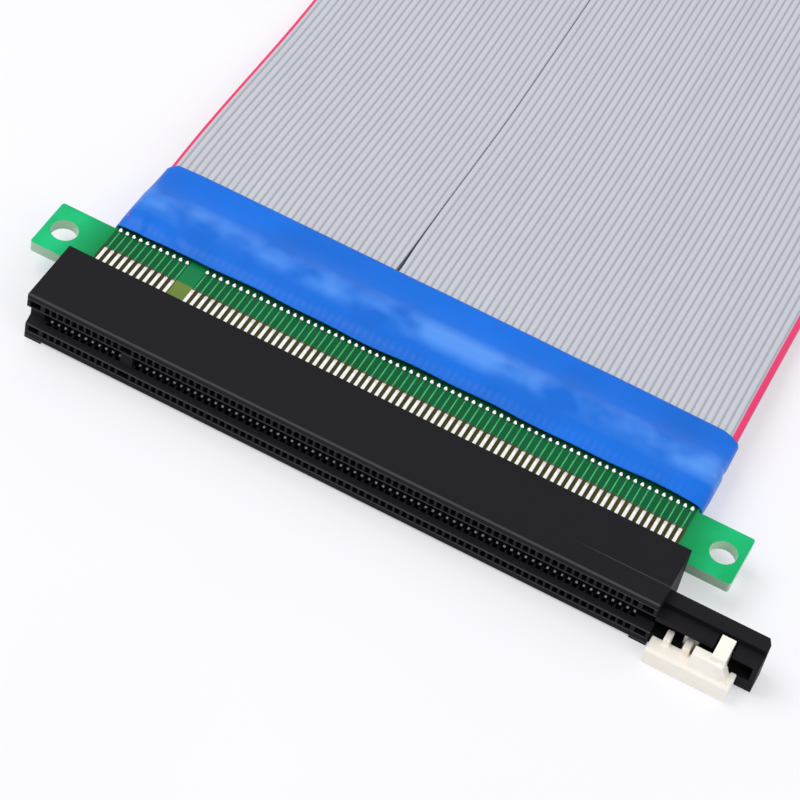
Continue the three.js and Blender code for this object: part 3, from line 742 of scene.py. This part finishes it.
class RISER_OT_stage(bpy.types.Operator):
    """Set the camera where the photograph was taken, the pale floor, the soft lights and the surroundings"""

    bl_idname = "riser.stage"
    bl_label = "Stage"

    def execute(self, context):
        scene, stage = context.scene, context.scene.riser_stage
        scene.view_settings.view_transform = "Standard"
        self.add_camera(scene, stage)
        self.add_floor(scene)
        self.add_sky(scene, stage)
        self.add_light(scene, "key_light", (-0.45, -0.02, 0.82), 0.6, stage.key_power)
        self.add_light(scene, "fill_light", (0.55, -0.25, 0.5), 0.5, stage.fill_power)
        return {"FINISHED"}

    def add_camera(self, scene, stage):
        data = bpy.data.cameras.new("photo_camera")
        data.sensor_width = 36
        data.lens = stage.lens
        data.clip_start = 0.01
        right, up = np.array(stage.camera_right), np.array(stage.camera_up)
        turned = Matrix(np.column_stack((right, up, np.cross(right, up))).tolist()).to_4x4()
        camera = bpy.data.objects.new("photo_camera", data)
        camera.matrix_world = Matrix.Translation(stage.camera_place) @ turned
        scene.collection.objects.link(camera)
        scene.camera = camera

    def add_floor(self, scene):
        """A flat square under the lead. Camera rays see it mixed with a plain white glow, so that it
        stays pale and keeps a soft shadow."""
        half = 1.6
        mesh = bpy.data.meshes.new("floor")
        corners = [(-half, -half, 0), (half, -half, 0), (half, half, 0), (-half, half, 0)]
        mesh.from_pydata(corners, [], [(0, 1, 2, 3)])
        floor = bpy.data.objects.new("floor", mesh)
        scene.collection.objects.link(floor)
        material, nodes, shader = new_material("pale floor")
        colour = scene.riser_finish.floor
        mottle = nodes.group(mottle_group(), Patch=60 * MM, Grain=2 * MM)
        nodes.feed(shader.inputs["Base Color"], nodes.blend(mottle["Patches"], linear(240, 240, 246), colour))
        shader.inputs["Roughness"].default_value = 0.6
        glow = nodes.add("ShaderNodeEmission", {"Color": colour, "Strength": 1.06})
        path = nodes.add("ShaderNodeLightPath").outputs
        seen = nodes.either(path["Is Camera Ray"], path["Is Glossy Ray"], path["Is Transmission Ray"])
        lit = nodes.add("ShaderNodeMixShader", {
            0: nodes.math("MULTIPLY", seen, 0.45), 1: shader.outputs[0], 2: glow.outputs[0],
        })
        output = material.node_tree.nodes["Material Output"]
        nodes.feed(output.inputs["Surface"], lit.outputs[0])
        mesh.materials.append(material)

    def add_sky(self, scene, stage):
        world = bpy.data.worlds.new("pale surroundings")
        world.use_nodes = True
        scene.world = world
        nodes = Nodes(world.node_tree)
        path = nodes.add("ShaderNodeLightPath").outputs
        seen = nodes.either(path["Is Camera Ray"], path["Is Glossy Ray"], path["Is Transmission Ray"])
        strength = nodes.rise(seen, 0.0, 1.0, stage.sky, 1.0)
        background = world.node_tree.nodes["Background"]
        nodes.feed(background.inputs["Color"], scene.riser_finish.floor)
        nodes.feed(background.inputs["Strength"], strength)

    def add_light(self, scene, name, place, size, power):
        data = bpy.data.lights.new(name, "AREA")
        data.shape = "SQUARE"
        data.size = size
        data.energy = power
        light = bpy.data.objects.new(name, data)
        aim = -Matrix.Translation(place).to_translation()
        light.rotation_euler = aim.to_track_quat("-Z", "Y").to_euler()
        light.location = place
        scene.collection.objects.link(light)


class RISER_OT_ribbons(bpy.types.Operator):
    """Lay the four ribbed ribbons from the socket's sleeve to the plug's"""

    bl_idname = "riser.ribbons"
    bl_label = "Ribbons"

    def execute(self, context):
        lead = context.scene.riser_lead
        vinyls = {
            "left": vinyl_material("vinyl left", LEFT_WIRES, 0.0, 0.42),
            "right": vinyl_material("vinyl right", POSITIONS - LEFT_WIRES, 1.0, 0.75),
        }
        for row, side in (("upper", 1), ("lower", -1)):
            for flank, first, count in (
                ("left", 0, LEFT_WIRES), ("right", LEFT_WIRES, POSITIONS - LEFT_WIRES),
            ):
                self.lay(lead, f"{row}_{flank}", side, first, count, vinyls[flank])
        return {"FINISHED"}

    def profile(self, lead, first, count):
        """Outline across a ribbon: each wire is a flat crown that falls to a groove as the fourth power
        of the distance from the wire's middle, above and below alike."""
        steps = np.array((-0.5, -0.4, -0.22, 0.0, 0.22, 0.4))
        fall = lead.groove_depth * np.abs(2 * steps) ** 4
        wire = np.arange(count)[:, None] + 0.5 + steps[None, :]
        level = np.tile(lead.ribbon_thickness / 2 - fall, (count, 1))
        wire = np.append(wire.ravel(), count)
        level = np.append(level.ravel(), lead.ribbon_thickness / 2 - lead.groove_depth)
        start = SLOT_X + (first - POSITIONS / 2) * lead.pitch
        x = start + wire * lead.pitch
        ring = np.column_stack((x, level)), np.column_stack((x[::-1], -level[::-1]))
        return np.vstack(ring), np.concatenate((wire, wire[::-1])) / count

    def lay(self, lead, label, side, first, count, material):
        """The outline stands upright at every distance along the course, cut off at the gap between the
        ribbons and moved sideways by the veer."""
        outline, share = self.profile(lead, first, count)
        distance = stations()
        middle = ribbon_height(side, distance)
        shift = veer(distance)
        split = SLOT_X + (LEFT_WIRES - POSITIONS / 2) * lead.pitch
        gap = split_gap(distance)[:, None]
        across = np.tile(outline[:, 0], (len(distance), 1))
        across = np.maximum(across, split + gap) if first else np.minimum(across, split - gap)
        points = np.empty((len(distance), len(outline), 3))
        points[..., 0] = across + shift[:, None]
        points[..., 1] = RIBBON_START_Y + distance[:, None]
        points[..., 2] = middle[:, None] + outline[None, :, 1]
        faces = [face[::-1] for face in tube_faces(len(distance), len(outline))]
        piece = put_piece(f"wires_{label}", points, faces, material)
        corners = np.empty(len(piece.data.loops), dtype=np.int32)
        piece.data.loops.foreach_get("vertex_index", corners)
        station, ring = corners // len(outline), corners % len(outline)
        uv = np.column_stack((share[ring], distance[station] / lead.ribbon_length))
        piece.data.uv_layers.new(name="wires").data.foreach_set("uv", uv.ravel())

        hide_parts(f"ribbon_{label}")

    def on_plug(self):
        """The plug's board and the pieces that are on it."""
        labels = [f"plug_{label}" for label in ("fingers", "leads", "joints")]
        names = ["film_plug", *(f"{label}_{row}" for label in labels for row in ("upper", "lower"))]
        return [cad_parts["plug_board"], *(bpy.data.objects[name] for name in names)]


class RISER_OT_film(bpy.types.Operator):
    """Wrap the blue film over the soldered ends at the socket and at the plug"""

    bl_idname = "riser.film"
    bl_label = "Film sleeves"

    # Folds of the socket's film: start, end, height and width, from the slot's middle and the mouth face
    folds = (
        ((-42.0, 26.4), (-30.0, 24.4), 0.16, 1.0),
        ((-41.0, 27.0), (-39.5, 20.0), 0.14, 0.7),
        ((-38.0, 24.0), (-34.0, 20.6), -0.10, 0.8),
        ((-26.0, 25.4), (-6.0, 26.6), 0.14, 1.3),
        ((4.0, 25.6), (22.0, 26.8), 0.12, 1.2),
        ((24.0, 26.4), (41.0, 27.2), 0.16, 1.1),
        ((33.0, 22.4), (41.0, 24.6), -0.12, 0.9),
        ((36.5, 20.9), (41.5, 22.6), 0.12, 0.6),
    )

    # Half widths in millimetres at shares of the film's length, for its left and right side, and how far
    # short of the sleeve's end its rear edge stops at shares of its half width
    cut_film = (
        ((0.0, 42.6), (0.45, 42.5), (1.0, 42.45)),
        ((0.0, 42.7), (0.2, 42.78), (0.52, 42.7), (0.58, 42.5), (0.66, 42.6), (1.0, 42.45)),
        ((-1.0, 1.3), (-0.97, 0.2), (-0.9, 0.05), (0.0, 0.25), (0.7, 0.5), (0.94, 0.7), (1.0, 1.4)),
    )
    whole_film = (((0.0, 42.55),), ((0.0, 42.55),), ((0.0, 0.0),))

    # The skin's room over the wires, the droop of its front edge to the board, the ripple over each wire
    clearance = 0.19 * MM
    front_droop = 0.42 * MM
    ripple_height = 0.014 * MM

    def execute(self, context):
        lead = context.scene.riser_lead
        material = film_material()
        front, back = SLEEVE_LOW[1] - 0.3 * MM, SLEEVE_HIGH[1]
        self.wrap(
            lead, "film_socket", front, back, SLOT_X, 1, self.folds, self.cut_film, 380, material,
            "socket_sleeve",
        )
        plug_low, plug_high = (np.array(corner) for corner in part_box("plug_sleeve"))
        middle = (plug_low[0] + plug_high[0]) / 2
        self.wrap(
            lead, "film_plug", plug_high[1], plug_low[1], middle, -1, (), self.whole_film, 200, material,
            "plug_sleeve",
        )
        return {"FINISHED"}

    def wrap(self, lead, name, front, back, middle_x, way, folds, cut, across, material, node):
        """Height is a function of the place in plan: the ribbons' own height and a skin over them, a droop
        to the board at the front edge, ripples over the wires and a soft ridge for each fold. The two
        sheets close at the sides as a superellipse of high power."""
        along = 44
        t = np.linspace(-1, 1, across)
        v = np.linspace(0, 1, along)
        wave = 0.12 * MM * np.sin(9.0 * t) + 0.07 * MM * np.sin(23.0 * t + 1.0)
        depth = abs(back - front)
        inset = 0.1 * MM + wave
        left, right, rear = (np.array(line).T for line in cut)
        reach = depth - MM * np.interp(t, *rear) + 0.3 * np.minimum(wave, 0)
        run = inset[None, :] + (reach - inset)[None, :] * v[:, None]
        sides = np.interp(v, *left)[:, None], np.interp(v, *right)[:, None]
        x = t[None, :] * MM * np.where(t[None, :] < 0, *sides)
        y = front + way * run
        overlap = abs(front - RIBBON_START_Y) if way > 0 else SLEEVE_OVERLAP
        from_end = np.maximum(run - overlap, 0)
        total = lead.ribbon_length
        distance = from_end if way > 0 else total - from_end
        droop = self.front_droop * (1 - ease(run, 0.0, overlap + 0.6 * MM))
        skin = lead.ribbon_thickness / 2 + self.clearance
        fading = 1 - ease(run, 2.0 * MM, 4.0 * MM)
        ripple = self.ripple_height * np.cos(2 * math.pi * x / lead.pitch) * fading
        ridges = np.zeros_like(x)
        for start, end, height, width in folds:
            ridges += height * MM * self.ridge(x, y - MOUTH_Y, start, end, width)
        cloud = 0.04 * MM * np.sin(x / (2.7 * MM) + 1.3 * np.sin(y / (3.1 * MM))) * np.sin(y / (1.9 * MM))
        upper = ribbon_height(1, distance) + skin - droop + ripple + ridges + cloud
        lower = ribbon_height(-1, distance) - skin + droop - 0.5 * ripple
        close = np.sqrt(np.maximum(1 - np.abs(t) ** 70, 0))[None, :]
        centre = (upper + lower) / 2
        top = np.stack((middle_x + x, y, centre + (upper - centre) * close), axis=-1)
        under = np.stack((middle_x + x, y, centre + (lower - centre) * close), axis=-1)
        rings = np.concatenate((top, under[:, ::-1][:, 1:-1]), axis=1)
        faces = tube_faces(along, rings.shape[1], capped=False)
        if way > 0:
            faces = [face[::-1] for face in faces]
        piece = put_piece(name, rings, faces, material)
        wall = piece.modifiers.new("film wall", "SOLIDIFY")
        wall.thickness = lead.film_thickness
        wall.offset = -1
        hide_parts(node)

    def ridge(self, x, y, start, end, width):
        """A soft ridge along a line: the bell curve of the distance from the line, in millimetres, fading
        at both ends."""
        start, end = np.array(start), np.array(end)
        way = (end - start) / np.linalg.norm(end - start)
        dx, dy = x / MM - start[0], y / MM - start[1]
        along = dx * way[0] + dy * way[1]
        aside = dy * way[0] - dx * way[1]
        length = np.linalg.norm(end - start)
        past = np.maximum(-along, 0) + np.maximum(along - length, 0)
        return np.exp(-((aside / width) ** 2) - (past / (2.5 * width)) ** 2)


class RISER_OT_solder(bpy.types.Operator):
    """Finish the socket board: pads, solder at the contact tails, tracks and the beads at the wires"""

    bl_idname = "riser.solder"
    bl_label = "Board work"

    pad_start = 0.15 * MM
    pad_past_tail = 0.4 * MM
    bead_front = 1.1 * MM

    # Solder over the end of a contact tail
    solder_width = 0.52 * MM
    solder_length = 1.7 * MM
    solder_height = 0.3 * MM

    def execute(self, context):
        lead, finish = context.scene.riser_lead, context.scene.riser_finish
        pad_y = BOARD_LOW[1] + self.pad_start
        pad_end = TAIL_END_Y + self.pad_past_tail
        bead_y = SLEEVE_LOW[1] - self.bead_front
        half = POSITIONS / 2 * lead.pitch
        dress("socket_board", board_material("socket board", SLOT_X, BOARD_LOW[1], pad_end, bead_y, half))
        tin = metal_material("tinned solder", tuple(finish.tin), 0.3, pad_end - 0.45 * MM)
        bead_tin = metal_material("tinned wire ends", tuple(finish.tin), 0.2)
        track = trace_material()
        x = contact_x()
        for row, side in (("upper", 1), ("lower", -1)):
            level = BOARD_HIGH[2] if side > 0 else BOARD_LOW[2]
            put_row(
                f"pads_{row}", bar(lead.pad_width, pad_end - pad_y, 0.05 * MM, side), x, pad_y, level, tin,
            )
            put_row(
                f"solder_{row}",
                dome(self.solder_width, self.solder_length, self.solder_height, side, around=12, rings=4),
                x, TAIL_END_Y - 0.5 * MM, level, tin,
            )
            put_row(
                f"tracks_{row}", bar(lead.trace_width, bead_y - pad_end + 0.3 * MM, 0.035 * MM, side),
                x, pad_end - 0.1 * MM, level, track,
            )
            put_row(f"beads_{row}", bead(side), x, bead_y + lead.bead_length / 2, level, bead_tin)
        return {"FINISHED"}


class RISER_OT_housing(bpy.types.Operator):
    """Give the slot housing its black plastic, its contact tails their tin, and the springs in the slot their
    painted shade and glints
    """

    bl_idname = "riser.housing"
    bl_label = "Housing"

    def execute(self, context):
        dress("socket_housing", housing_material())
        return {"FINISHED"}


class RISER_OT_latch(bpy.types.Operator):
    """Round the latch's moulded edges and give it its ivory plastic"""

    bl_idname = "riser.latch"
    bl_label = "Latch"

    # Size of a cell in millimetres, and rounds of smoothing
    cell = 0.09
    smoothing = 7

    def execute(self, context):
        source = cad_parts["latch"].data
        mesh = self.rounded(context, source)
        mesh.materials.clear()
        mesh.materials.append(latch_material())
        mesh.shade_smooth()
        piece = bpy.data.objects.new("latch_body", mesh)
        context.scene.collection.objects.link(piece)
        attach(piece, LATCH_BODY)
        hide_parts("latch")
        return {"FINISHED"}

    def rounded(self, context, source):
        """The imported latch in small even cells, smoothed until its edges are round, and kept in its own
        box. The cells are set in millimetres."""
        large = source.copy()
        large.transform(Matrix.Scale(1 / MM, 4))
        draft = bpy.data.objects.new("latch_draft", large)
        context.scene.collection.objects.link(draft)
        cells = draft.modifiers.new("cells", "REMESH")
        cells.mode = "VOXEL"
        cells.voxel_size = self.cell
        softened = draft.modifiers.new("softened", "SMOOTH")
        softened.factor = 0.5
        softened.iterations = self.smoothing
        depsgraph = context.evaluated_depsgraph_get()
        mesh = bpy.data.meshes.new_from_object(draft.evaluated_get(depsgraph))
        mesh.name = "latch_body"
        bpy.data.objects.remove(draft)
        bpy.data.meshes.remove(large)
        points = np.empty(3 * len(source.vertices))
        source.vertices.foreach_get("co", points)
        corners = points.reshape(-1, 3)
        points = np.empty(3 * len(mesh.vertices))
        mesh.vertices.foreach_get("co", points)
        kept = np.clip(points.reshape(-1, 3) * MM, corners.min(axis=0), corners.max(axis=0))
        mesh.vertices.foreach_set("co", kept.ravel())
        return mesh


class RISER_OT_plug(bpy.types.Operator):
    """Finish the plug: its board, gold fingers, tracks and the beads at the wires"""

    bl_idname = "riser.plug"
    bl_label = "Plug"

    finger_length = 5.6 * MM
    tip_margin = 1.7 * MM

    def execute(self, context):
        lead, finish = context.scene.riser_lead, context.scene.riser_finish
        tip = PLUG_HIGH[1]
        finger_end = tip - self.tip_margin
        finger_start = finger_end - self.finger_length
        sleeve_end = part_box("plug_sleeve")[1][1]
        bead_y = sleeve_end + 0.15 * MM
        half = POSITIONS / 2 * lead.pitch
        middle = (PLUG_LOW[0] + PLUG_HIGH[0]) / 2
        dress("plug_board", board_material("plug board", middle, finger_end, finger_start, bead_y, half))
        gold = metal_material("gold plate", tuple(finish.gold), 0.18)
        tin = metal_material("tinned beads", tuple(finish.tin), 0.2)
        track = trace_material()
        x = contact_x() - SLOT_X + middle
        for row, side in (("upper", 1), ("lower", -1)):
            level = PLUG_HIGH[2] if side > 0 else PLUG_LOW[2]
            rows = (
                ("fingers", bar(0.7 * MM, self.finger_length, 0.04 * MM, side), finger_start, gold,
                 "gold_plate"),
                ("leads", bar(lead.trace_width, finger_start - bead_y, 0.035 * MM, side), bead_y, track,
                 "circuit_board"),
                ("joints", bead(side), bead_y, tin, "tinned_metal"),
            )
            for label, template, y, material, slot in rows:
                put_row(f"plug_{label}_{row}", template, x, y, level, material)
        return {"FINISHED"}


class RISER_PT_panel(bpy.types.Panel):
    """The lead's pieces in the sidebar"""

    bl_idname = "RISER_PT_panel"
    bl_label = "Ribbon riser lead"
    bl_space_type = "VIEW_3D"
    bl_region_type = "UI"
    bl_category = "Riser"

    def draw(self, context):
        for operator in OPERATORS:
            self.layout.operator(operator.bl_idname)


GROUPS = {"riser_lead": RISER_PG_lead, "riser_finish": RISER_PG_finish, "riser_stage": RISER_PG_stage}
OPERATORS = (
    RISER_OT_stage,
    RISER_OT_ribbons,
    RISER_OT_film,
    RISER_OT_solder,
    RISER_OT_housing,
    RISER_OT_latch,
    RISER_OT_plug,
)


def register():
    for kind in (*GROUPS.values(), *OPERATORS, RISER_PT_panel):
        bpy.utils.register_class(kind)
    for name, kind in GROUPS.items():
        setattr(bpy.types.Scene, name, PointerProperty(type=kind))


def unregister():
    for name in GROUPS:
        delattr(bpy.types.Scene, name)
    for kind in reversed((*GROUPS.values(), *OPERATORS, RISER_PT_panel)):
        bpy.utils.unregister_class(kind)


def main():
    register()
    bpy.ops.riser.stage()
    bpy.ops.riser.film()
    bpy.ops.riser.plug()
    bpy.ops.riser.ribbons()
    bpy.ops.riser.solder()
    bpy.ops.riser.housing()
    bpy.ops.riser.latch()


if __name__ == "__main__":
    main()
